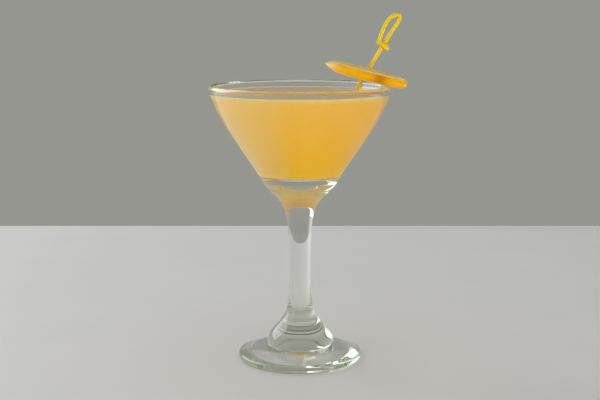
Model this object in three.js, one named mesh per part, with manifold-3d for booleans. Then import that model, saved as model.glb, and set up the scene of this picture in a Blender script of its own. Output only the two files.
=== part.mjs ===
// A stemmed cocktail glass filled with an orange drink, and a citrus wheel on a knotted pick across its rim.
// Millimetres, +Z up. The origin is the middle of the foot's flat underside.
import * as THREE from 'three';
import { mergeVertices } from 'three/addons/utils/BufferGeometryUtils.js';
import Module from 'manifold-3d';

// Glass, from the top down: lip, bowl wall, shoulder, neck, stem, bell and foot
const GLASS_HEIGHT = 168;
const RIM_RADIUS = 54.6;
const LIP_THICKNESS = 3;
const LIP_HEIGHT = 3;
const SHOULDER_RADIUS = 21.3;
const SHOULDER_HEIGHT = 107.5;
const SHOULDER_ROUNDING = 1.5;
const NECK_RADIUS = 14.6;
const NECK_HEIGHT = 100.9;
const STEM_TOP_RADIUS = 7.2;
const STEM_TOP_HEIGHT = 80.5;
const WAIST_RADIUS = 6.5;
const WAIST_HEIGHT = 56;
const BELL_RADIUS = 15.2;
const BELL_HEIGHT = 19.7;
const CREASE_RADIUS = 20.5;
const CREASE_HEIGHT = 9.5;
const FOOT_RADIUS = 37.9;
const FOOT_EDGE = 4.4;
const FOOT_EDGE_TURN = THREE.MathUtils.degToRad(72);

// Slopes of the outline, as outward run for each unit of rise
const WALL_SLOPE_AT_LIP = 0.3;
const WALL_SLOPE_AT_SHOULDER = 0.55;
const NECK_SLOPE = 0.95;
const STEM_TOP_SLOPE = 0.045;
const BELL_SLOPE = -0.9;
const BELL_SLOPE_AT_CREASE = -0.12;

// How far the outline keeps each slope, as the rise to the curve's handle
const LIP_HANDLE = 21.5;
const WALL_HANDLE = 14;
const NECK_HANDLE = 6;
const STEM_HANDLE_UP = 8;
const STEM_HANDLE_DOWN = 14;
const WAIST_HANDLE_UP = 5;
const WAIST_HANDLE_DOWN = 25;
const BELL_HANDLE_UP = 8.3;
const BELL_HANDLE_DOWN = 3;
const CREASE_HANDLE = 4.5;

// Inside of the bowl: a wall whose handles are shares of its rise, a rounded corner and a nearly flat floor
const FLOOR_HEIGHT = 114.3;
const CORNER_RADIUS = 23.4;
const CORNER_HEIGHT = 118;
const CORNER_PULL = 2;
const INSIDE_SLOPE_AT_CORNER = 0.7;
const INSIDE_HANDLE_HIGH = 0.4;
const INSIDE_HANDLE_LOW = 0.23;

// Drink, with the clearance that keeps touching pieces apart
const DRINK_LEVEL = 163.4;
const CLEARANCE = 0.3;

// Citrus wheel: it lies across the rim on the +X side, lower outside the glass than inside
const WHEEL_RADIUS = 25.2;
const WHEEL_THICKNESS = 6;
const WHEEL_POINT = 8;
const RIND_TAPER = 4;
const WHEEL_CENTRE = new THREE.Vector3(39.3, 0, 174.6);
const WHEEL_TILT = THREE.MathUtils.degToRad(14.5);

// Pick: it runs through the middle of the wheel and stands on the floor of the bowl
const PICK_RADIUS = 1.15;
const PICK_LEAN = THREE.MathUtils.degToRad(30.5);
const POINT_LENGTH = 7;
const POINT_RADIUS = 0.3;
const KNOT_ABOVE_WHEEL = 20.6;
const LOOP_LENGTH = 18.8;
const LOOP_WIDTH = 5;
const LOOP_BEND = 0.5;
const STRAND_START = 1;
const TAIL_REACH = 4.4;
const TAIL_DROP = 1.6;
const KNOT_RADIUS = 2.1;

// How finely round surfaces are divided
const GLASS_SIDES = 48;
const WHEEL_SIDES = 48;
const PICK_SIDES = 8;
const CURVE_STEPS = 6;
const LOOP_STEPS = 30;
const WELD = 1e-3;

// Colours and finishes
const FINISHES = {
  glass: { color: 0xdfe5e0, roughness: 0.05, opacity: 0.35, transparent: true },
  drink: { color: 0xe0a848, roughness: 0.3 },
  citrus_wheel: { color: 0xe0a012, roughness: 0.45 },
  pick: { color: 0xe2bc28, roughness: 0.55 },
};

const wasm = await Module();
wasm.setup();

// A closed geometry as a solid that can be cut and joined.
function solidOf(geometry) {
  const bare = geometry.index ? geometry.toNonIndexed() : geometry.clone();
  bare.deleteAttribute('normal');
  bare.deleteAttribute('uv');
  const welded = mergeVertices(bare, WELD);
  const mesh = new wasm.Mesh({
    numProp: 3,
    vertProperties: welded.attributes.position.array,
    triVerts: new Uint32Array(welded.index.array),
  });
  return new wasm.Manifold(mesh);
}

// A solid as a geometry that can be drawn.
function geometryOf(solid) {
  const mesh = solid.getMesh();
  const geometry = new THREE.BufferGeometry();
  geometry.setAttribute('position', new THREE.BufferAttribute(mesh.vertProperties, 3));
  geometry.setIndex(new THREE.BufferAttribute(mesh.triVerts, 1));
  geometry.computeVertexNormals();
  return geometry;
}

// A solid of revolution about +Z from an outline of radius and height.
function turned(outline, sides) {
  return new THREE.LatheGeometry(outline, sides).rotateX(Math.PI / 2);
}

// A round rod along a curve.
function rod(curve, radius, steps) {
  const section = new THREE.Shape().absarc(0, 0, radius, 0, 2 * Math.PI);
  return new THREE.ExtrudeGeometry(section, {
    steps,
    curveSegments: PICK_SIDES,
    extrudePath: curve,
  });
}

// The point at a height along a line of the given slope through a known point.
function along(radius, height, slope, rise) {
  return [radius + slope * rise, height + rise];
}

// The bowl's inner wall and floor, from the lip down to the axis.
function bowlInside() {
  const path = new THREE.Path();
  const lipBottom = GLASS_HEIGHT - LIP_HEIGHT;
  const innerLip = RIM_RADIUS - LIP_THICKNESS;
  const wallRise = lipBottom - CORNER_HEIGHT;
  path.moveTo(innerLip, lipBottom);
  path.bezierCurveTo(
    ...along(innerLip, lipBottom, WALL_SLOPE_AT_LIP, -INSIDE_HANDLE_HIGH * wallRise),
    ...along(CORNER_RADIUS, CORNER_HEIGHT, INSIDE_SLOPE_AT_CORNER, INSIDE_HANDLE_LOW * wallRise),
    CORNER_RADIUS,
    CORNER_HEIGHT,
  );
  path.quadraticCurveTo(CORNER_RADIUS - CORNER_PULL, FLOOR_HEIGHT, CORNER_RADIUS / 2, FLOOR_HEIGHT);
  path.lineTo(0, FLOOR_HEIGHT);
  return path;
}

// The whole outline of the glass: underside, foot, bell, stem, neck, bowl, lip and inside.
function glassOutline() {
  const path = new THREE.Path();
  const edge = FOOT_EDGE / 2;
  const lipBottom = GLASS_HEIGHT - LIP_HEIGHT;
  path.moveTo(0, 0);
  path.lineTo(FOOT_RADIUS - edge, 0);
  path.absarc(FOOT_RADIUS - edge, edge, edge, -Math.PI / 2, FOOT_EDGE_TURN);
  path.lineTo(CREASE_RADIUS, CREASE_HEIGHT);
  path.bezierCurveTo(
    ...along(CREASE_RADIUS, CREASE_HEIGHT, BELL_SLOPE_AT_CREASE, CREASE_HANDLE),
    ...along(BELL_RADIUS, BELL_HEIGHT, BELL_SLOPE, -BELL_HANDLE_DOWN),
    BELL_RADIUS,
    BELL_HEIGHT,
  );
  path.bezierCurveTo(
    ...along(BELL_RADIUS, BELL_HEIGHT, BELL_SLOPE, BELL_HANDLE_UP),
    ...along(WAIST_RADIUS, WAIST_HEIGHT, 0, -WAIST_HANDLE_DOWN),
    WAIST_RADIUS,
    WAIST_HEIGHT,
  );
  path.bezierCurveTo(
    ...along(WAIST_RADIUS, WAIST_HEIGHT, 0, WAIST_HANDLE_UP),
    ...along(STEM_TOP_RADIUS, STEM_TOP_HEIGHT, STEM_TOP_SLOPE, -STEM_HANDLE_DOWN),
    STEM_TOP_RADIUS,
    STEM_TOP_HEIGHT,
  );
  path.bezierCurveTo(
    ...along(STEM_TOP_RADIUS, STEM_TOP_HEIGHT, STEM_TOP_SLOPE, STEM_HANDLE_UP),
    ...along(NECK_RADIUS, NECK_HEIGHT, NECK_SLOPE, -NECK_HANDLE),
    NECK_RADIUS,
    NECK_HEIGHT,
  );
  path.lineTo(...along(SHOULDER_RADIUS, SHOULDER_HEIGHT, NECK_SLOPE, -SHOULDER_ROUNDING));
  const wallStart = along(SHOULDER_RADIUS, SHOULDER_HEIGHT, WALL_SLOPE_AT_SHOULDER, SHOULDER_ROUNDING);
  path.quadraticCurveTo(SHOULDER_RADIUS, SHOULDER_HEIGHT, ...wallStart);
  path.bezierCurveTo(
    ...along(...wallStart, WALL_SLOPE_AT_SHOULDER, WALL_HANDLE),
    ...along(RIM_RADIUS, lipBottom, WALL_SLOPE_AT_LIP, -LIP_HANDLE),
    RIM_RADIUS,
    lipBottom,
  );
  path.absellipse(RIM_RADIUS - LIP_THICKNESS / 2, lipBottom, LIP_THICKNESS / 2, LIP_HEIGHT, 0, Math.PI);
  return path.getPoints(CURVE_STEPS).concat(bowlInside().getPoints(CURVE_STEPS));
}

// The outline of the drink: the bowl's inside, drawn in by the clearance and cut off at the level.
function drinkOutline() {
  const inside = bowlInside();
  const count = inside.curves.length * CURVE_STEPS;
  const outline = [];
  for (let i = 0; i <= count; i += 1) {
    const point = inside.getPoint(1 - i / count);
    const tangent = inside.getTangent(1 - i / count);
    point.x = Math.max(0, point.x + CLEARANCE * tangent.y);
    point.y -= CLEARANCE * tangent.x;
    const below = outline.at(-1);
    if (point.y >= DRINK_LEVEL) {
      const share = (DRINK_LEVEL - below.y) / (point.y - below.y);
      outline.push(below.clone().lerp(point, share));
      break;
    }
    outline.push(point);
  }
  outline.push(new THREE.Vector2(0, DRINK_LEVEL));
  return outline;
}

// Half the section of the wheel: two flat faces and a rind that tapers out to a blunt edge.
function wheelOutline() {
  const half = WHEEL_THICKNESS / 2;
  const flat = WHEEL_RADIUS - RIND_TAPER;
  const path = new THREE.Path();
  path.moveTo(0, -half);
  path.lineTo(flat, -half);
  path.absellipse(flat, 0, RIND_TAPER, half, -Math.PI / 2, Math.PI / 2);
  path.lineTo(0, half);
  return path.getPoints(CURVE_STEPS / 2);
}

// The wheel lies flat about its own middle, and its -X end runs out to a thin point.
function wheelBlank() {
  const geometry = turned(wheelOutline(), WHEEL_SIDES);
  const position = geometry.attributes.position;
  for (let i = 0; i < position.count; i += 1) {
    const fromPoint = THREE.MathUtils.clamp((WHEEL_RADIUS + position.getX(i)) / WHEEL_POINT, 0, 1);
    position.setZ(i, position.getZ(i) * Math.sqrt(fromPoint));
  }
  return geometry;
}

// The pick's straight shaft about its own axis, from its point up to the knot, grown all round for a hole.
function shaft(length, grown) {
  const radius = PICK_RADIUS + grown;
  const outline = [
    [0, -length - grown],
    [POINT_RADIUS + grown, -length - grown],
    [radius, POINT_LENGTH - length],
    [radius, KNOT_ABOVE_WHEEL - 2 * KNOT_RADIUS],
    [radius, KNOT_ABOVE_WHEEL],
    [0, KNOT_ABOVE_WHEEL],
  ];
  return turned(outline.map(([r, z]) => new THREE.Vector2(r, z)), PICK_SIDES);
}

// The strand that goes on up from the shaft, bends over, comes back down and ends across the knot.
function loopStrand() {
  const points = [
    [0, 0, -STRAND_START],
    [0.6 * LOOP_BEND, 0, 0.5 * LOOP_LENGTH],
    [LOOP_BEND, 0, 0.9 * LOOP_LENGTH],
    [-0.3 * LOOP_WIDTH, 0, LOOP_LENGTH],
    [-0.9 * LOOP_WIDTH, 0, 0.82 * LOOP_LENGTH],
    [-LOOP_WIDTH, 0, 0.5 * LOOP_LENGTH],
    [-0.7 * LOOP_WIDTH, -0.5 * PICK_RADIUS, 0.04 * LOOP_LENGTH],
    [0, -1.5 * PICK_RADIUS, -0.06 * LOOP_LENGTH],
    [TAIL_REACH, 0, -0.07 * LOOP_LENGTH],
  ];
  return new THREE.CatmullRomCurve3(points.map((point) => new THREE.Vector3(...point)));
}

// The short free end on the other side of the knot.
function tailStrand() {
  return new THREE.LineCurve3(
    new THREE.Vector3(0, PICK_RADIUS, STRAND_START),
    new THREE.Vector3(-TAIL_REACH, 0.5 * PICK_RADIUS, -TAIL_DROP),
  );
}

// The whole pick about its own axis, with the wheel's middle at its origin.
function pickSolid(length) {
  const knot = new THREE.SphereGeometry(KNOT_RADIUS, PICK_SIDES, PICK_SIDES / 2);
  const top = [
    rod(loopStrand(), PICK_RADIUS, LOOP_STEPS),
    rod(tailStrand(), PICK_RADIUS, 1),
    knot,
  ];
  return top.reduce(
    (solid, piece) => solid.add(solidOf(piece.translate(0, 0, KNOT_ABOVE_WHEEL))),
    solidOf(shaft(length, 0)),
  );
}

// A named piece with its own material.
function piece(name, geometry) {
  const mesh = new THREE.Mesh(geometry, new THREE.MeshStandardMaterial({ metalness: 0, ...FINISHES[name] }));
  mesh.name = name;
  return mesh;
}

// The pick's length below the wheel's middle, so that its point stands on the floor of the bowl
const floorClearance = CLEARANCE + POINT_RADIUS * Math.sin(PICK_LEAN);
const pickDepth = (WHEEL_CENTRE.z - FLOOR_HEIGHT - floorClearance) / Math.cos(PICK_LEAN);
const bore = shaft(pickDepth, CLEARANCE);

// The drink is cut round the pick
const boreInDrink = bore.clone().rotateY(PICK_LEAN).translate(...WHEEL_CENTRE);
const drinkSolid = solidOf(turned(drinkOutline(), GLASS_SIDES)).subtract(solidOf(boreInDrink));

// The wheel is cut round the pick, and the lip presses a groove into its underside
const boreInWheel = bore.clone().rotateY(PICK_LEAN - WHEEL_TILT);
const lipMiddle = new THREE.Vector3(0, 0, GLASS_HEIGHT - LIP_HEIGHT).sub(WHEEL_CENTRE);
const lipOutline = new THREE.Path();
lipOutline.absellipse(
  RIM_RADIUS - LIP_THICKNESS / 2,
  0,
  LIP_THICKNESS / 2 + CLEARANCE,
  LIP_HEIGHT + CLEARANCE,
  0,
  2 * Math.PI,
);
const lipInWheel = turned(lipOutline.getPoints(CURVE_STEPS), GLASS_SIDES)
  .translate(...lipMiddle)
  .rotateY(-WHEEL_TILT);
const wheelSolid = solidOf(wheelBlank()).subtract(solidOf(boreInWheel)).subtract(solidOf(lipInWheel));

// The garnish hangs together about the wheel's middle
const garnish = new THREE.Group();
garnish.position.copy(WHEEL_CENTRE);
const wheel = piece('citrus_wheel', geometryOf(wheelSolid));
wheel.rotation.y = WHEEL_TILT;
const pick = piece('pick', geometryOf(pickSolid(pickDepth)));
pick.rotation.y = PICK_LEAN;
garnish.add(wheel, pick);

const cocktail = new THREE.Group();
cocktail.add(
  piece('glass', turned(glassOutline(), GLASS_SIDES)),
  piece('drink', geometryOf(drinkSolid)),
  garnish,
);

export default cocktail;
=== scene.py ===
"""A cocktail in a stemmed glass, with a citrus wheel on a knotted pick across the rim.

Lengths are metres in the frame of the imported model: +Z up, origin under the middle of the foot, and +X
towards the side of the rim where the garnish lies.
"""
import math

import bmesh
import bpy
import numpy as np
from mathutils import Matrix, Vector


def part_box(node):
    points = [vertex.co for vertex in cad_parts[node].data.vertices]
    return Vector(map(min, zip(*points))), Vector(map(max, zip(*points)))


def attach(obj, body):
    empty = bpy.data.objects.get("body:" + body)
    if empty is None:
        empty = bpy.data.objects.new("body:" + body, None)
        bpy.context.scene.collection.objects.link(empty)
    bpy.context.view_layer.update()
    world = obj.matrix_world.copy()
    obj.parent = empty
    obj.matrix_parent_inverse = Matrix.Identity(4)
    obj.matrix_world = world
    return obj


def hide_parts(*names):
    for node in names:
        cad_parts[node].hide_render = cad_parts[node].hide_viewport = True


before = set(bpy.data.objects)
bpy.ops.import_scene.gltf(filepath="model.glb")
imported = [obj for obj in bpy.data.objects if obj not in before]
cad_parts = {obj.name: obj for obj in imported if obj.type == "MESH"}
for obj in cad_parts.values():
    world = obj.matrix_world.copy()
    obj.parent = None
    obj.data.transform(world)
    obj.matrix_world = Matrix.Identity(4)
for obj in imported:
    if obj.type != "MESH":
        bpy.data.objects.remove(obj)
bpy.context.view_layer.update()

MM = 0.001

# Glass, from the top down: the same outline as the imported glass
glass_low, glass_high = (np.array(corner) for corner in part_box("glass"))
GLASS_HEIGHT = glass_high[2]
RIM_RADIUS = (glass_high[0] - glass_low[0]) / 2
LIP_THICKNESS = 3 * MM
LIP_HEIGHT = 3 * MM
SHOULDER_RADIUS = 21.3 * MM
SHOULDER_HEIGHT = 107.5 * MM
SHOULDER_ROUNDING = 1.5 * MM
NECK_RADIUS = 14.6 * MM
NECK_HEIGHT = 100.9 * MM
STEM_TOP_RADIUS = 7.2 * MM
STEM_TOP_HEIGHT = 80.5 * MM
WAIST_RADIUS = 6.5 * MM
WAIST_HEIGHT = 56 * MM
BELL_RADIUS = 15.2 * MM
BELL_HEIGHT = 19.7 * MM
CREASE_RADIUS = 20.5 * MM
CREASE_HEIGHT = 9.5 * MM
FOOT_RADIUS = 37.9 * MM
FOOT_EDGE = 4.4 * MM
FOOT_EDGE_TURN = math.radians(72)
HOLLOW_RADIUS = 29 * MM
HOLLOW_RISE = 4.4 * MM

# Slopes of the outline, as outward run for each unit of rise
WALL_SLOPE_AT_LIP = 0.3
WALL_SLOPE_AT_SHOULDER = 0.55
NECK_SLOPE = 0.95
STEM_TOP_SLOPE = 0.045
BELL_SLOPE = -0.9
BELL_SLOPE_AT_CREASE = -0.12

# How far the outline keeps each slope, as the rise to the curve's handle
LIP_HANDLE = 21.5 * MM
WALL_HANDLE = 14 * MM
NECK_HANDLE = 6 * MM
STEM_HANDLE_UP = 8 * MM
STEM_HANDLE_DOWN = 14 * MM
WAIST_HANDLE_UP = 5 * MM
WAIST_HANDLE_DOWN = 25 * MM
BELL_HANDLE_UP = 8.3 * MM
BELL_HANDLE_DOWN = 3 * MM
CREASE_HANDLE = 4.5 * MM

# Inside of the bowl: a wall whose handles are shares of its rise, a rounded corner and a flat floor
FLOOR_HEIGHT = 114.3 * MM
CORNER_RADIUS = 23.4 * MM
CORNER_HEIGHT = 118 * MM
CORNER_PULL = 2 * MM
INSIDE_SLOPE_AT_CORNER = 0.7
INSIDE_HANDLE_HIGH = 0.4
INSIDE_HANDLE_LOW = 0.23

# Drink: its level, how far it reaches into the wall, and how it climbs the wall at its edge
DRINK_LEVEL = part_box("drink")[1][2]
GLASS_INDEX = 1.51
DRINK_INDEX = 1.34
INTO_WALL = 0.15 * MM
MENISCUS_RISE = 0.4 * MM
MENISCUS_REACH = 1.6 * MM
PALE_EDGE = 2.5 * MM
DEEP_COLOUR_RISE = 12 * MM
DRIFT_SIZE = 14 * MM
SCATTER_REACH = 6 * MM

# Citrus wheel: it lies across the rim, lower outside the glass than inside
WHEEL_RADIUS = 25.2 * MM
WHEEL_THICKNESS = 6 * MM
WHEEL_POINT = 8 * MM
RIND_TAPER = 4 * MM
WHEEL_CENTRE = np.array([39.3, 0, 174.6]) * MM
WHEEL_TILT = math.radians(14.5)
SEGMENTS = 10
CORE_RADIUS = 2.6 * MM
PITH_WIDTH = 1.1 * MM
MEMBRANE = 0.35 * MM
SEGMENT_ROUNDING = 1.0 * MM
FLESH_SINK = 0.22 * MM
SAC_RELIEF = 0.1 * MM
SAC_LENGTH = 0.8 * MM
SAC_SWAY = 1.7 * MM
SACS_ROUND = 90
# A darker brown patch on the rind's front: its angle round the wheel and its width.
DARK_PATCH_ANGLE = math.radians(286)
DARK_PATCH_WIDTH = math.radians(11)
CLEARANCE = 0.3 * MM

# Pick: it runs through the middle of the wheel and stands on the floor of the bowl
PICK_RADIUS = 1.15 * MM
PICK_LEAN = math.radians(30.5)
POINT_LENGTH = 7 * MM
POINT_RADIUS = 0.3 * MM
KNOT_ABOVE_WHEEL = 20.6 * MM
LOOP_LENGTH = 18.8 * MM
LOOP_WIDTH = 5 * MM
LOOP_BEND = 0.5 * MM
STRAND_START = 1 * MM
TAIL_REACH = 4.4 * MM
TAIL_DROP = 1.6 * MM
KNOT_RADIUS = 2.1 * MM
KNOT_PITCH = 0.25 * MM
FIBRE_TURN = 2.5 * MM

# Camera and stage
CAMERA_PLACE = (0.0, -0.6639, 0.2145)
CAMERA_DOWN = math.radians(9.92)
CAMERA_LENS = 66.53
CAMERA_SENSOR = 36
TABLE_BACK = 0.414
TABLE_SIDE = 2.5
TABLE_GAP = 0.05 * MM

# How finely surfaces are divided
STEPS = 40
STRAIGHT_STEPS = 12
FOOT_TOP_STEPS = 20
STANDING_RING_STEPS = 8
ROUND = 192
WHEEL_ROUND = 320
WHEEL_ACROSS = 70
HOLE_STEPS = 10
STRAND_ROUND = 24
POINT_STEPS = 20
SHAFT_STEPS = 60
WRAP_STEPS = 30
WRAP_STRIDE = 4
MERGE_DISTANCE = 1e-7

# How often light may be passed on inside the thick glass before it is given up
GLASS_BOUNCES = 32


def linear(colour):
    """An sRGB hex colour as linear red, green, blue and alpha."""
    channels = np.array([int(colour[i:i + 2], 16) for i in (1, 3, 5)]) / 255
    low = channels / 12.92
    high = ((channels + 0.055) / 1.055) ** 2.4
    return (*np.where(channels <= 0.04045, low, high).tolist(), 1.0)


def bezier(a, b, c, d, steps=STEPS):
    """Points on a cubic curve from a to d, pulled towards b and c, without its last point."""
    t = np.linspace(0, 1, steps, endpoint=False)[:, None]
    a, b, c, d = (np.array(p) for p in (a, b, c, d))
    return (1 - t) ** 3 * a + 3 * t * (1 - t) ** 2 * b + 3 * t ** 2 * (1 - t) * c + t ** 3 * d


def conic(a, b, c, steps=STEPS):
    """Points on a quadratic curve from a to c, pulled towards b, without its last point."""
    a, b, c = (np.array(p) for p in (a, b, c))
    return bezier(a, a + (b - a) * 2 / 3, c + (b - c) * 2 / 3, c, steps)


def line(a, b, steps):
    """Evenly spaced points from a to b, without the last."""
    t = np.linspace(0, 1, steps, endpoint=False)[:, None]
    return np.array(a) * (1 - t) + np.array(b) * t


def arc(middle, reach, start, stop, steps=STEPS):
    """Points on an ellipse's arc between two angles, without the last; reach is its two half axes."""
    t = np.linspace(start, stop, steps, endpoint=False)
    return np.stack([middle[0] + reach[0] * np.cos(t), middle[1] + reach[1] * np.sin(t)], axis=1)


def along(point, slope, rise):
    """The point that lies a given rise further along a line of the given outward slope."""
    return (point[0] + slope * rise, point[1] + rise)


def smooth(low, high, value):
    """0 below low, 1 above high and an even S-curve between them."""
    t = np.clip((value - low) / (high - low), 0, 1)
    return t * t * (3 - 2 * t)


def placed(points, turn, place):
    """Points turned about the Y axis by an angle and then moved to a place."""
    x, y, z = np.moveaxis(points, -1, 0)
    turned_x = x * math.cos(turn) + z * math.sin(turn)
    turned_z = z * math.cos(turn) - x * math.sin(turn)
    return np.stack([turned_x, y, turned_z], axis=-1) + place


def grid_piece(name, points, materials, rows_of=None, uv=None, masks=None):
    """A closed piece from a grid of points: a row for each step of the profile, a column for each step round.

    Neighbours make four-sided faces, the last column joins the first, and points that meet are merged.
    rows_of gives the material of each row of faces, uv the two surface coordinates of each point, and masks
    more values of each point by name.
    """
    rows, columns = points.shape[:2]
    here = np.arange(rows * columns).reshape(rows, columns)
    beside = np.roll(here, -1, axis=1)
    faces = np.stack([here[:-1], beside[:-1], beside[1:], here[1:]], axis=-1).reshape(-1, 4)
    mesh = bpy.data.meshes.new(name)
    mesh.from_pydata(points.reshape(-1, 3).tolist(), [], faces.tolist())
    for material in materials:
        mesh.materials.append(material)
    if rows_of is not None:
        mesh.polygons.foreach_set("material_index", np.repeat(rows_of[:-1], columns).astype(np.int32))
    if uv is not None:
        corners = uv.reshape(-1, 2)[faces].reshape(rows - 1, columns, 4, 2)
        corners[:, -1, 1:3, 0] += 1
        mesh.uv_layers.new(name="surface").data.foreach_set("uv", corners.astype(np.float32).ravel())
    for mask, values in (masks or {}).items():
        data = mesh.attributes.new(mask, "FLOAT", "POINT").data
        data.foreach_set("value", values.astype(np.float32).ravel())
    work = bmesh.new()
    work.from_mesh(mesh)
    bmesh.ops.remove_doubles(work, verts=work.verts, dist=MERGE_DISTANCE)
    bmesh.ops.recalc_face_normals(work, faces=work.faces)
    work.to_mesh(mesh)
    work.free()
    mesh.shade_smooth()
    piece = bpy.data.objects.new(name, mesh)
    bpy.context.scene.collection.objects.link(piece)
    return piece


def dressed(piece, node):
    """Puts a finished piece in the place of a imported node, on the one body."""
    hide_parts(node)
    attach(piece, "root")


def turned(outline, columns=ROUND):
    """A surface of revolution: each outline point of radius and height goes once round the Z axis."""
    angle = np.linspace(0, 2 * math.pi, columns, endpoint=False)
    radius = outline[:, 0, None]
    height = np.repeat(outline[:, 1, None], columns, axis=1)
    return np.stack([radius * np.cos(angle), radius * np.sin(angle), height], axis=-1)


def bowl_inside():
    """The bowl's inside from the lip down to the axis: a cubic wall, a round corner and a flat floor."""
    lip = (RIM_RADIUS - LIP_THICKNESS, GLASS_HEIGHT - LIP_HEIGHT)
    corner = (CORNER_RADIUS, CORNER_HEIGHT)
    rise = lip[1] - corner[1]
    flat = (CORNER_RADIUS / 2, FLOOR_HEIGHT)
    high_handle = along(lip, WALL_SLOPE_AT_LIP, -INSIDE_HANDLE_HIGH * rise)
    low_handle = along(corner, INSIDE_SLOPE_AT_CORNER, INSIDE_HANDLE_LOW * rise)
    return np.concatenate([
        bezier(lip, high_handle, low_handle, corner),
        conic(corner, (CORNER_RADIUS - CORNER_PULL, FLOOR_HEIGHT), flat),
        line(flat, (0, FLOOR_HEIGHT), STRAIGHT_STEPS),
        [(0, FLOOR_HEIGHT)],
    ])


def glass_outline():
    """The whole outline of the glass: underside, foot, bell, stem, neck, bowl wall, lip and inside.

    The underside is pressed in as a shallow bowl, a parabola inside the ring that the glass stands on.
    """
    hollow_radius = np.linspace(0, HOLLOW_RADIUS, STEPS, endpoint=False)
    hollow_height = HOLLOW_RISE * (1 - (hollow_radius / HOLLOW_RADIUS) ** 2)
    hollow = np.stack([hollow_radius, hollow_height], axis=1)
    edge = FOOT_EDGE / 2
    crease = (CREASE_RADIUS, CREASE_HEIGHT)
    bell = (BELL_RADIUS, BELL_HEIGHT)
    waist = (WAIST_RADIUS, WAIST_HEIGHT)
    stem_top = (STEM_TOP_RADIUS, STEM_TOP_HEIGHT)
    stem_handle_down = along(stem_top, STEM_TOP_SLOPE, -STEM_HANDLE_DOWN)
    stem_handle_up = along(stem_top, STEM_TOP_SLOPE, STEM_HANDLE_UP)
    neck = (NECK_RADIUS, NECK_HEIGHT)
    shoulder = (SHOULDER_RADIUS, SHOULDER_HEIGHT)
    flank = along(shoulder, NECK_SLOPE, -SHOULDER_ROUNDING)
    wall = along(shoulder, WALL_SLOPE_AT_SHOULDER, SHOULDER_ROUNDING)
    rim = (RIM_RADIUS, GLASS_HEIGHT - LIP_HEIGHT)
    edge_middle = (FOOT_RADIUS - edge, edge)
    edge_end = (edge * math.cos(FOOT_EDGE_TURN), edge * math.sin(FOOT_EDGE_TURN))
    edge_top = (edge_middle[0] + edge_end[0], edge_middle[1] + edge_end[1])
    crease_handle = along(crease, BELL_SLOPE_AT_CREASE, CREASE_HANDLE)
    wall_handle = along(wall, WALL_SLOPE_AT_SHOULDER, WALL_HANDLE)
    rim_handle = along(rim, WALL_SLOPE_AT_LIP, -LIP_HANDLE)
    return np.concatenate([
        hollow,
        line((HOLLOW_RADIUS, 0), (FOOT_RADIUS - edge, 0), STANDING_RING_STEPS),
        arc(edge_middle, (edge, edge), -math.pi / 2, FOOT_EDGE_TURN),
        line(edge_top, crease, FOOT_TOP_STEPS),
        bezier(crease, crease_handle, along(bell, BELL_SLOPE, -BELL_HANDLE_DOWN), bell),
        bezier(bell, along(bell, BELL_SLOPE, BELL_HANDLE_UP), along(waist, 0, -WAIST_HANDLE_DOWN), waist),
        bezier(waist, along(waist, 0, WAIST_HANDLE_UP), stem_handle_down, stem_top),
        bezier(stem_top, stem_handle_up, along(neck, NECK_SLOPE, -NECK_HANDLE), neck),
        line(neck, flank, STRAIGHT_STEPS),
        conic(flank, shoulder, wall, STRAIGHT_STEPS),
        bezier(wall, wall_handle, rim_handle, rim),
        arc((RIM_RADIUS - LIP_THICKNESS / 2, rim[1]), (LIP_THICKNESS / 2, LIP_HEIGHT), 0, math.pi),
        bowl_inside(),
    ])


def drink_outline():
    """The bowl's inside drawn out into the wall, up to a surface that climbs the wall as it nears it.

    The second result says which points belong to the free surface.
    """
    inside = bowl_inside()[::-1]
    step = np.gradient(inside, axis=0)
    outward = np.stack([step[:, 1], -step[:, 0]], axis=1)
    outward /= np.linalg.norm(outward, axis=1, keepdims=True)
    body = inside + INTO_WALL * outward
    body[0, 0] = 0
    body = body[body[:, 1] < DRINK_LEVEL + MENISCUS_RISE]
    wall = body[-1, 0]
    near_wall = np.linspace(0, 4 * MENISCUS_REACH, STEPS, endpoint=False)
    from_wall = np.concatenate([near_wall, np.linspace(4 * MENISCUS_REACH, wall, STEPS)])
    height = DRINK_LEVEL + MENISCUS_RISE * np.exp(-from_wall / MENISCUS_REACH)
    surface = np.stack([wall - from_wall, height], axis=1)
    free = np.arange(len(body) + len(surface)) >= len(body) - 1
    return np.concatenate([body, surface]), free


def flesh_share(radius, angle):
    """How far a point of a cut face lies inside a flesh segment, from 0 in pith and membrane to 1 in flesh.

    The distances to the nearest membrane, to the core and to the pith ring are joined by a soft minimum, so
    that the segments get rounded corners. The membranes' angles are shifted by slow waves, so that no two
    segments are alike.
    """
    uneven = angle + 0.09 * np.sin(2 * angle + 0.6) + 0.06 * np.sin(5 * angle + 2.1)
    share = np.mod(uneven * SEGMENTS / (2 * math.pi), 1)
    to_membrane = np.minimum(share, 1 - share) * 2 * math.pi * radius / SEGMENTS
    to_core = radius - CORE_RADIUS
    to_pith = WHEEL_RADIUS - RIND_TAPER - PITH_WIDTH - radius
    distances = np.stack(np.broadcast_arrays(to_membrane, to_core, to_pith))
    nearest = -SEGMENT_ROUNDING * np.log(np.exp(-distances / SEGMENT_ROUNDING).sum(axis=0))
    return smooth(-MEMBRANE, MEMBRANE, nearest)


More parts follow.
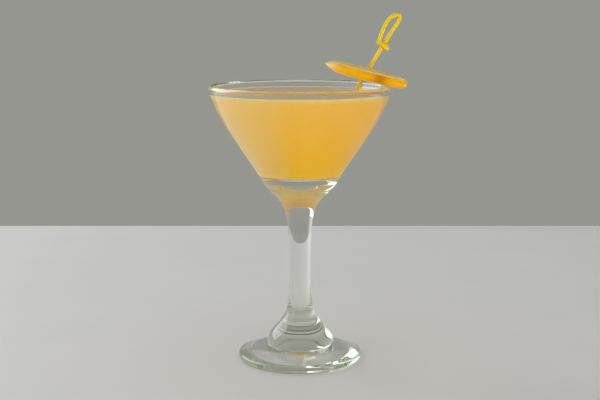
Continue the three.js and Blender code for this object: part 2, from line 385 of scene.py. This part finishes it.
def citrus_wheel():
    """A cut wheel: a section that runs up the pick's hole, over the top face, round the rind and back below.

    Each point of the section goes once round; near the hole the circle's middle follows the leaning pick.
    The flesh lies lower than membranes and pith and bulges in rows of small juice sacs. The -X end thins out
    to a point, by the root of the distance from it. The underside is pressed up where it meets the lip.
    """
    hole = PICK_RADIUS + CLEARANCE
    flat = WHEEL_RADIUS - RIND_TAPER
    up = np.linspace(-1, 1, HOLE_STEPS, endpoint=False)
    out = np.linspace(hole, flat, WHEEL_ACROSS, endpoint=False)
    nose = np.linspace(math.pi / 2, -math.pi / 2, STEPS, endpoint=False)
    edge = flat + RIND_TAPER * np.cos(nose)
    radius = np.concatenate([np.full(HOLE_STEPS, hole), out, edge, flat + hole - out, [hole]])
    level = np.concatenate([up, np.ones_like(out), np.sin(nose), -np.ones_like(out), [-1]])
    rind = np.concatenate([0 * up, 0 * out, smooth(0.45, 0.75, np.cos(nose)), 0 * out, [0]])
    radius, level = radius[:, None], level[:, None]
    angle = np.linspace(0, 2 * math.pi, WHEEL_ROUND, endpoint=False)[None, :]
    flesh = flesh_share(radius, angle)
    across_sacs = np.sin(SACS_ROUND * angle + 2 * np.sin(radius / SAC_SWAY))
    along_sacs = np.sin(radius / SAC_LENGTH + 3 * np.sin(17 * angle))
    face = (np.abs(level) > 0.999) & (radius < flat)
    sunk = np.where(face, flesh * (FLESH_SINK + SAC_RELIEF * across_sacs * along_sacs), 0)
    uneven = 1 + 0.012 * np.sin(3 * angle + 0.8) + 0.008 * np.sin(7 * angle)
    x = radius * uneven * np.cos(angle)
    y = radius * uneven * np.sin(angle)
    half = WHEEL_THICKNESS / 2 * np.sqrt(np.clip((WHEEL_RADIUS + x) / WHEEL_POINT, 0, 1))
    z = level * half - np.sign(level) * sunk
    fade = 1 - smooth(hole, flat, radius)
    x = x + z * math.tan(PICK_LEAN - WHEEL_TILT) * fade
    points = placed(np.stack([x, y, z], axis=-1), WHEEL_TILT, WHEEL_CENTRE)
    lip_reach = LIP_THICKNESS / 2 + CLEARANCE
    from_lip = (np.hypot(points[..., 0], points[..., 1]) - RIM_RADIUS + LIP_THICKNESS / 2) / lip_reach
    lip_top = GLASS_HEIGHT - LIP_HEIGHT + (LIP_HEIGHT + CLEARANCE) * np.sqrt(np.clip(1 - from_lip ** 2, 0, 1))
    pressed = (np.abs(from_lip) < 1) & (level < 0)
    points[..., 2] = np.where(pressed, np.maximum(points[..., 2], lip_top), points[..., 2])
    whole = np.ones_like(points[..., 0])
    uv = np.stack([angle / (2 * math.pi) * whole, radius / MM * whole], axis=-1)
    # Towards the -X tip the rind mask fades, so that the rind takes the cut face's cream colour there.
    cream_tip = smooth(0.6, 1.0, -radius / WHEEL_RADIUS * np.cos(angle))
    # The darker brown patch on the rind, a bell curve in the angle round the wheel.
    dark_patch = np.exp(-((angle - DARK_PATCH_ANGLE) / DARK_PATCH_WIDTH) ** 2)
    masks = {"flesh": flesh * face * whole, "rind": rind[:, None] * (1 - 0.8 * cream_tip), "dark_patch": dark_patch * whole}
    return grid_piece("citrus_wheel_cut", points, [citrus()], uv=uv, masks=masks)


def through(points, steps=12):
    """A smooth path through points: between neighbours a cubic whose ends point along the next neighbours."""
    points = np.array(points)
    ends = np.concatenate([[2 * points[0] - points[1]], points, [2 * points[-1] - points[-2]]])
    before, start, stop, after = ends[:-3, None], ends[1:-2, None], ends[2:-1, None], ends[3:, None]
    t = np.linspace(0, 1, steps, endpoint=False)[None, :, None]
    curve = start + t / 2 * (stop - before) + t ** 2 / 2 * (2 * before - 5 * start + 4 * stop - after) \
        + t ** 3 / 2 * (3 * (start - stop) + after - before)
    return np.concatenate([curve.reshape(-1, 3), points[-1:]])


def strand(name, path, radius, beside, material):
    """A split of bamboo: an almost round section with shallow fibres, carried along a path, with rounded ends.

    The section stands square to the path, and beside is a direction that the path never takes.
    """
    step = np.gradient(path, axis=0)
    ahead = step / np.linalg.norm(step, axis=1, keepdims=True)
    side = np.cross(ahead, beside)
    side /= np.linalg.norm(side, axis=1, keepdims=True)
    other = np.cross(side, ahead)
    length = np.concatenate([[0], np.cumsum(np.linalg.norm(np.diff(path, axis=0), axis=1))])
    from_end = np.minimum(length, length[-1] - length)
    blunt = np.sqrt(1 - (1 - np.clip(from_end / (0.6 * PICK_RADIUS), 0, 1)) ** 2)
    angle = np.linspace(0, 2 * math.pi, STRAND_ROUND, endpoint=False)[None, :]
    fibres = 1 + 0.035 * np.sin(5 * angle + 1.3) + 0.02 * np.sin(9 * angle + length[:, None] / FIBRE_TURN)
    reach = (radius * blunt)[:, None] * fibres
    points = path[:, None] + (reach * np.cos(angle))[..., None] * side[:, None] \
        + (reach * np.sin(angle))[..., None] * other[:, None]
    whole = np.ones_like(reach)
    uv = np.stack([angle / (2 * math.pi) * whole, length[:, None] / MM * whole], axis=-1)
    return grid_piece(name, points, [material], uv=uv)


def pick_pieces():
    """The pick about its own axis: a pointed shaft, the strand of the loop, and the one tied round it."""
    material = dyed_bamboo()
    floor_clearance = CLEARANCE + POINT_RADIUS * math.sin(PICK_LEAN)
    depth = (WHEEL_CENTRE[2] - FLOOR_HEIGHT - floor_clearance) / math.cos(PICK_LEAN)
    height = np.concatenate([
        np.linspace(-depth, POINT_LENGTH - depth, POINT_STEPS, endpoint=False),
        np.linspace(POINT_LENGTH - depth, KNOT_ABOVE_WHEEL, SHAFT_STEPS),
    ])
    shaft_path = np.stack([0 * height, 0 * height, height], axis=1)
    taper = np.clip((height + depth) / POINT_LENGTH, 0, 1)
    shaft_radius = POINT_RADIUS + (PICK_RADIUS - POINT_RADIUS) * taper
    knot = np.array([0, 0, KNOT_ABOVE_WHEEL])
    loop_path = through(knot + np.array([
        (0, 0, -STRAND_START),
        (0.6 * LOOP_BEND, 0, 0.5 * LOOP_LENGTH),
        (LOOP_BEND, 0, 0.9 * LOOP_LENGTH),
        (-0.3 * LOOP_WIDTH, 0, LOOP_LENGTH),
        (-0.9 * LOOP_WIDTH, 0, 0.82 * LOOP_LENGTH),
        (-LOOP_WIDTH, 0, 0.5 * LOOP_LENGTH),
        (-0.7 * LOOP_WIDTH, -0.5 * PICK_RADIUS, 0.04 * LOOP_LENGTH),
        (0, -1.5 * PICK_RADIUS, -0.06 * LOOP_LENGTH),
        (TAIL_REACH, 0, -0.07 * LOOP_LENGTH),
    ]))
    turn = np.linspace(1.1 * math.pi, 2.9 * math.pi, WRAP_STEPS)
    wrap_height = KNOT_PITCH * (turn - 2 * math.pi)
    wrap = np.stack([KNOT_RADIUS * np.cos(turn), KNOT_RADIUS * np.sin(turn), wrap_height], axis=1)
    tail = np.array([
        (-TAIL_REACH, 0.5 * PICK_RADIUS, -TAIL_DROP),
        (-0.8 * TAIL_REACH, 0.2 * PICK_RADIUS, -0.75 * TAIL_DROP),
    ])
    tie_path = through(knot + np.concatenate([tail, wrap[WRAP_STRIDE - 1::WRAP_STRIDE]]))
    return [
        strand("pick_shaft", placed(shaft_path, PICK_LEAN, WHEEL_CENTRE), shaft_radius, (0, 1, 0), material),
        strand("pick_loop", placed(loop_path, PICK_LEAN, WHEEL_CENTRE), PICK_RADIUS, (0, 1, 0), material),
        strand("pick_tie", placed(tie_path, PICK_LEAN, WHEEL_CENTRE), 0.85 * PICK_RADIUS,
               (math.sin(PICK_LEAN), 0, math.cos(PICK_LEAN)), material),
    ]


def add_node(tree, kind, values=None, links=None, **settings):
    """Adds a shader node with its settings, sets its sockets' values and links its sockets to other nodes."""
    node = tree.nodes.new(kind)
    for name, value in settings.items():
        setattr(node, name, value)
    for socket, value in (values or {}).items():
        node.inputs[socket].default_value = value
    for socket, output in (links or {}).items():
        tree.links.new(output, node.inputs[socket])
    return node


def new_material(name):
    """An empty node material and its tree."""
    material = bpy.data.materials.new(name)
    material.use_nodes = True
    material.node_tree.nodes.clear()
    return material, material.node_tree


def clear_soda_lime_glass():
    """Clear pressed soda-lime glass, fire polished: mirror smooth, with a faint green cast in thick places."""
    material, tree = new_material("clear_soda_lime_glass")
    glass = add_node(tree, "ShaderNodeBsdfPrincipled", {
        "Base Color": (1, 1, 1, 1), "Roughness": 0.0, "IOR": GLASS_INDEX, "Transmission Weight": 1.0})
    passing = add_node(tree, "ShaderNodeBsdfTransparent", {"Color": linear("#f2f4f2")})
    path = add_node(tree, "ShaderNodeLightPath")
    mixed = add_node(tree, "ShaderNodeMixShader", links={
        0: path.outputs["Is Shadow Ray"], 1: glass.outputs[0], 2: passing.outputs[0]})
    tint = add_node(tree, "ShaderNodeVolumeAbsorption", {"Color": linear("#dfe6cf"), "Density": 12.0})
    add_node(tree, "ShaderNodeOutputMaterial", links={"Surface": mixed.outputs[0], "Volume": tint.outputs[0]})
    return material


def drink_colour(tree):
    """The drink's colour: golden, paler towards its top, with cloudy drifts; and painted light: paler on its
    -X side and its back, where window light comes in and light from behind shines through.
    """
    place = add_node(tree, "ShaderNodeTexCoord")
    split = add_node(tree, "ShaderNodeSeparateXYZ", links={0: place.outputs["Object"]})
    rise = add_node(tree, "ShaderNodeMapRange", {
        "From Min": FLOOR_HEIGHT + DEEP_COLOUR_RISE, "From Max": DRINK_LEVEL}, {"Value": split.outputs["Z"]})
    depth = add_node(tree, "ShaderNodeMix", {6: linear("#ffc702"), 7: linear("#ecc556")},
                     {0: rise.outputs[0]}, data_type="RGBA")
    level = add_node(tree, "ShaderNodeCombineXYZ", links={"X": split.outputs["X"], "Y": split.outputs["Y"]})
    around = add_node(tree, "ShaderNodeVectorMath", links={0: level.outputs[0]}, operation="NORMALIZE")
    facing = add_node(tree, "ShaderNodeSeparateXYZ", links={0: around.outputs[0]})
    # Painted light: the -X side and the back are mixed towards a lighter colour. This stands in for window
    # light entering the -X side and light from behind shining through the drink.
    side = add_node(tree, "ShaderNodeMapRange", {"From Min": -0.1, "From Max": -1.0, "To Max": 0.8},
                    {"Value": facing.outputs["X"]})
    behind = add_node(tree, "ShaderNodeMapRange", {"From Min": 0.1, "From Max": 0.8, "To Max": 0.9},
                      {"Value": facing.outputs["Y"]})
    painted_light_share = add_node(tree, "ShaderNodeMath", links={0: side.outputs[0], 1: behind.outputs[0]},
                    operation="MAXIMUM")
    # The light cream colour of the painted light on the -X side and the back.
    lit = add_node(tree, "ShaderNodeMix", {7: linear("#fcd796")},
                   {0: painted_light_share.outputs[0], 6: depth.outputs[2]}, data_type="RGBA")
    top = add_node(tree, "ShaderNodeMapRange", {
        "From Min": DRINK_LEVEL - PALE_EDGE, "From Max": DRINK_LEVEL, "To Max": 0.6},
        {"Value": split.outputs["Z"]})
    edge = add_node(tree, "ShaderNodeMix", {7: linear("#ecd0a0")},
                    {0: top.outputs[0], 6: lit.outputs[2]}, data_type="RGBA")
    drift = add_node(tree, "ShaderNodeTexNoise", {"Scale": 1 / DRIFT_SIZE, "Detail": 3.0},
                     {"Vector": place.outputs["Object"]})
    share = add_node(tree, "ShaderNodeMapRange", {"From Min": 0.35, "From Max": 0.75, "To Max": 0.12},
                     {"Value": drift.outputs[0]})
    return add_node(tree, "ShaderNodeMix", {7: linear("#fbd678")},
                    {0: share.outputs[0], 6: edge.outputs[2]}, data_type="RGBA").outputs[2]


def cloudy_drink_in_glass():
    """Cloudy citrus drink against glass: light scatters in it, and a painted glow stands in for light from
    above that leaves at the floor.

    Seen through the glass its face is nearly free of gloss, but at grazing angles it mirrors, because glass
    bends light more than the drink does. Near the floor it has a weak painted glow: an emission that stands
    in for light from above that leaves the drink there.
    """
    material, tree = new_material("cloudy_drink_in_glass")
    place = add_node(tree, "ShaderNodeTexCoord")
    split = add_node(tree, "ShaderNodeSeparateXYZ", links={0: place.outputs["Object"]})
    # Painted glow: an emission that grows towards the floor, standing in for light from above that leaves the
    # drink there.
    low = add_node(tree, "ShaderNodeMapRange", {"From Min": CORNER_HEIGHT, "From Max": FLOOR_HEIGHT},
                   {"Value": split.outputs["Z"]})
    glow = add_node(tree, "ShaderNodeMix", {6: (0, 0, 0, 1), 7: linear("#805c34")},
                    {0: low.outputs[0]}, data_type="RGBA")
    body = add_node(tree, "ShaderNodeBsdfPrincipled", {
        "Roughness": 0.5, "Specular IOR Level": 0.0, "Subsurface Weight": 1.0, "Emission Strength": 1.0,
        "Subsurface Radius": (1.0, 0.6, 0.2), "Subsurface Scale": SCATTER_REACH},
        {"Base Color": drink_colour(tree), "Emission Color": glow.outputs[2]})
    mirror = add_node(tree, "ShaderNodeBsdfGlossy", {"Color": (1, 1, 1, 1), "Roughness": 0.0})
    edge = add_node(tree, "ShaderNodeFresnel", {"IOR": DRINK_INDEX / GLASS_INDEX})
    mixed = add_node(tree, "ShaderNodeMixShader", links={
        0: edge.outputs[0], 1: body.outputs[0], 2: mirror.outputs[0]})
    add_node(tree, "ShaderNodeOutputMaterial", links={"Surface": mixed.outputs[0]})
    return material


def cloudy_drink_surface():
    """The free surface of the cloudy drink: still, glossy as water, and mirror-like at a low angle."""
    material, tree = new_material("cloudy_drink_surface")
    body = add_node(tree, "ShaderNodeBsdfPrincipled", {
        "Roughness": 0.02, "IOR": DRINK_INDEX, "Subsurface Weight": 1.0,
        "Subsurface Radius": (1.0, 0.6, 0.2), "Subsurface Scale": SCATTER_REACH},
        {"Base Color": drink_colour(tree)})
    add_node(tree, "ShaderNodeOutputMaterial", links={"Surface": body.outputs[0]})
    return material


def citrus():
    """Fresh citrus: a waxy golden rind with fine pores, dull cream pith and moist flesh full of juice sacs."""
    material, tree = new_material("citrus")
    place = add_node(tree, "ShaderNodeTexCoord")
    flesh = add_node(tree, "ShaderNodeAttribute", attribute_name="flesh").outputs["Fac"]
    rind = add_node(tree, "ShaderNodeAttribute", attribute_name="rind").outputs["Fac"]
    dark_patch = add_node(tree, "ShaderNodeAttribute", attribute_name="dark_patch").outputs["Fac"]
    sac_size = add_node(tree, "ShaderNodeMapping", {"Scale": (90.0, 0.35, 1.0)}, {0: place.outputs["UV"]})
    sacs = add_node(tree, "ShaderNodeTexVoronoi", {"Scale": 1.0}, {"Vector": sac_size.outputs[0]})
    patches = add_node(tree, "ShaderNodeTexNoise", {"Scale": 1 / (9 * MM), "Detail": 2.0},
                       {"Vector": place.outputs["Object"]})
    pores = add_node(tree, "ShaderNodeTexVoronoi", {"Scale": 1 / (1.1 * MM)},
                     {"Vector": place.outputs["Object"]})
    flesh_colour = add_node(tree, "ShaderNodeMix", {6: linear("#ffd860"), 7: linear("#ffb828")},
                            {0: sacs.outputs["Distance"]}, data_type="RGBA")
    skin_colour = add_node(tree, "ShaderNodeMix", {6: linear("#dd9c00"), 7: linear("#f6c008")},
                           {0: patches.outputs[0]}, data_type="RGBA")
    # The rind turns darker brown in its dark patch.
    rind_colour = add_node(tree, "ShaderNodeMix", {7: linear("#c08400")},
                           {0: dark_patch, 6: skin_colour.outputs[2]}, data_type="RGBA")
    cut_colour = add_node(tree, "ShaderNodeMix", {6: linear("#f8dc94")},
                          {0: flesh, 7: flesh_colour.outputs[2]}, data_type="RGBA")
    colour = add_node(tree, "ShaderNodeMix", links={
        0: rind, 6: cut_colour.outputs[2], 7: rind_colour.outputs[2]}, data_type="RGBA")
    relief = add_node(tree, "ShaderNodeMix", links={
        0: rind, 2: sacs.outputs["Distance"], 3: pores.outputs["Distance"]})
    bump = add_node(tree, "ShaderNodeBump", {"Strength": 0.25, "Distance": 0.25 * MM},
                    {"Height": relief.outputs[0]})
    dullness = add_node(tree, "ShaderNodeMapRange", {"To Min": 0.55, "To Max": 0.25}, {"Value": flesh})
    body = add_node(tree, "ShaderNodeBsdfPrincipled", {
        "IOR": 1.42, "Specular IOR Level": 0.25, "Subsurface Weight": 0.6,
        "Subsurface Radius": (1.0, 0.5, 0.1), "Subsurface Scale": 3 * MM},
        {"Base Color": colour.outputs[2], "Roughness": dullness.outputs[0], "Normal": bump.outputs[0]})
    add_node(tree, "ShaderNodeOutputMaterial", links={"Surface": body.outputs[0]})
    return material


def dyed_bamboo():
    """Yellow dyed bamboo, split and smoothed: long fine fibres, lemon to golden, with a soft skin gloss."""
    material, tree = new_material("dyed_bamboo")
    place = add_node(tree, "ShaderNodeTexCoord")
    stretch = add_node(tree, "ShaderNodeMapping", {"Scale": (18.0, 0.12, 1.0)}, {0: place.outputs["UV"]})
    fibres = add_node(tree, "ShaderNodeTexNoise", {"Scale": 1.0, "Detail": 4.0, "Roughness": 0.6},
                      {"Vector": stretch.outputs[0]})
    share = add_node(tree, "ShaderNodeMapRange", {"From Min": 0.2, "From Max": 0.8},
                     {"Value": fibres.outputs[0]})
    colour = add_node(tree, "ShaderNodeMix", {6: linear("#d8ac08"), 7: linear("#ead82c")},
                      {0: share.outputs[0]}, data_type="RGBA")
    bump = add_node(tree, "ShaderNodeBump", {"Strength": 0.2, "Distance": 0.1 * MM},
                    {"Height": fibres.outputs[0]})
    body = add_node(tree, "ShaderNodeBsdfPrincipled", {
        "Roughness": 0.42, "IOR": 1.5, "Specular IOR Level": 0.3, "Subsurface Weight": 0.3,
        "Subsurface Radius": (1.0, 0.7, 0.1), "Subsurface Scale": 1 * MM},
        {"Base Color": colour.outputs[2], "Normal": bump.outputs[0]})
    add_node(tree, "ShaderNodeOutputMaterial", links={"Surface": body.outputs[0]})
    return material


def pale_table():
    """Pale painted table top: matt, with barely visible clouding."""
    material, tree = new_material("pale_table")
    place = add_node(tree, "ShaderNodeTexCoord")
    clouds = add_node(tree, "ShaderNodeTexNoise", {"Scale": 1 / (60 * MM), "Detail": 4.0},
                      {"Vector": place.outputs["Object"]})
    colour = add_node(tree, "ShaderNodeMix", {6: linear("#eaebeb"), 7: linear("#f0f0f0")},
                      {0: clouds.outputs[0]}, data_type="RGBA")
    top = add_node(tree, "ShaderNodeBsdfPrincipled", {"Roughness": 0.6}, {"Base Color": colour.outputs[2]})
    add_node(tree, "ShaderNodeOutputMaterial", links={"Surface": top.outputs[0]})
    return material


def table_top():
    """A flat rectangle just under the foot, with its far edge close behind the glass."""
    near = [(-TABLE_SIDE, -TABLE_SIDE), (TABLE_SIDE, -TABLE_SIDE)]
    far = [(TABLE_SIDE, TABLE_BACK), (-TABLE_SIDE, TABLE_BACK)]
    mesh = bpy.data.meshes.new("table")
    mesh.from_pydata([(x, y, -TABLE_GAP) for x, y in near + far], [], [(0, 1, 2, 3)])
    mesh.materials.append(pale_table())
    table = bpy.data.objects.new("table", mesh)
    bpy.context.scene.collection.objects.link(table)


def soft_room():
    """A grey room: bright on the window's side, dim on the camera's side and a little paler overhead."""
    world = bpy.data.worlds.new("soft_room")
    bpy.context.scene.world = world
    world.use_nodes = True
    tree = world.node_tree
    place = add_node(tree, "ShaderNodeTexCoord")
    split = add_node(tree, "ShaderNodeSeparateXYZ", links={0: place.outputs["Generated"]})
    before = add_node(tree, "ShaderNodeMapRange", {"From Min": 0.1, "From Max": -0.5},
                      {"Value": split.outputs["Y"]}, interpolation_type="SMOOTHSTEP")
    beside = add_node(tree, "ShaderNodeMapRange", {"From Min": -0.45, "From Max": -0.85},
                      {"Value": split.outputs["X"]}, interpolation_type="SMOOTHSTEP")
    overhead = add_node(tree, "ShaderNodeMapRange", {"From Min": 0.3, "From Max": 0.9},
                        {"Value": split.outputs["Z"]}, interpolation_type="SMOOTHSTEP")
    dim = add_node(tree, "ShaderNodeMix", {6: linear("#969691"), 7: linear("#686866")},
                   {0: before.outputs[0]}, data_type="RGBA")
    lit = add_node(tree, "ShaderNodeMix", {7: linear("#e4e8ea")},
                   {0: beside.outputs[0], 6: dim.outputs[2]}, data_type="RGBA")
    colour = add_node(tree, "ShaderNodeMix", {7: linear("#a8a8a6")},
                      {0: overhead.outputs[0], 6: lit.outputs[2]}, data_type="RGBA")
    tree.links.new(colour.outputs[2], tree.nodes["Background"].inputs["Color"])


def area_light(name, place, aim, size, power, colour, mirrored):
    """A rectangular light of the given width and height at a place, turned towards a point.

    The camera doesn't see it. Either glossy things and glass show it, or it lights all the rest.
    """
    light = bpy.data.lights.new(name, "AREA")
    light.shape = "RECTANGLE"
    light.size, light.size_y = size
    light.energy = power
    light.color = linear(colour)[:3]
    lamp = bpy.data.objects.new(name, light)
    lamp.location = place
    lamp.rotation_euler = (Vector(aim) - Vector(place)).to_track_quat("-Z", "Y").to_euler()
    lamp.visible_camera = False
    lamp.visible_glossy = mirrored
    lamp.visible_transmission = mirrored
    lamp.visible_diffuse = not mirrored
    bpy.context.scene.collection.objects.link(lamp)


def camera_at_eye_height():
    """The camera in front of the glass, looking slightly down."""
    camera = bpy.data.cameras.new("camera")
    camera.lens = CAMERA_LENS
    camera.sensor_width = CAMERA_SENSOR
    eye = bpy.data.objects.new("camera", camera)
    eye.location = CAMERA_PLACE
    eye.rotation_euler = (math.pi / 2 - CAMERA_DOWN, 0, 0)
    bpy.context.scene.collection.objects.link(eye)
    bpy.context.scene.camera = eye


glass_body = grid_piece("glass_body", turned(glass_outline()), [clear_soda_lime_glass()])
dressed(glass_body, "glass")

drink_points, drink_free = drink_outline()
drink_materials = [cloudy_drink_in_glass(), cloudy_drink_surface()]
drink_body = grid_piece("drink_body", turned(drink_points), drink_materials, rows_of=drink_free)
dressed(drink_body, "drink")

dressed(citrus_wheel(), "citrus_wheel")
for pick_piece in pick_pieces():
    dressed(pick_piece, "pick")

table_top()
soft_room()
area_light("window", (-1.1, 0.8, 0.9), (0, 0, 0.1), (0.9, 0.7), 4.8, "#fbfdff", False)
area_light("window_pane", (-1.1, 0.7, 0.9), (0, 0, 0.1), (1.3, 1.3), 14, "#fbfdff", True)
area_light("back", (0.3, 1.2, -0.05), (0, 0, 0.12), (1.6, 0.25), 6.5, "#ffffff", False)
area_light("front_left", (-1.2, -1.2, 0.12), (0, 0, 0.12), (1.6, 0.2), 13.2, "#ffffff", False)
area_light("front_right", (1.3, -1.1, 0.12), (0, 0, 0.12), (2.0, 0.2), 21.3, "#fff0e2", False)
area_light("ceiling", (0, 0.1, 1.6), (0, 0, 0.1), (1.5, 1.5), 2, "#ffffff", False)
camera_at_eye_height()
bpy.context.scene.view_settings.view_transform = "Standard"
bpy.context.scene.cycles.max_bounces = GLASS_BOUNCES
bpy.context.scene.cycles.transmission_bounces = GLASS_BOUNCES
bpy.context.scene.cycles.glossy_bounces = GLASS_BOUNCES
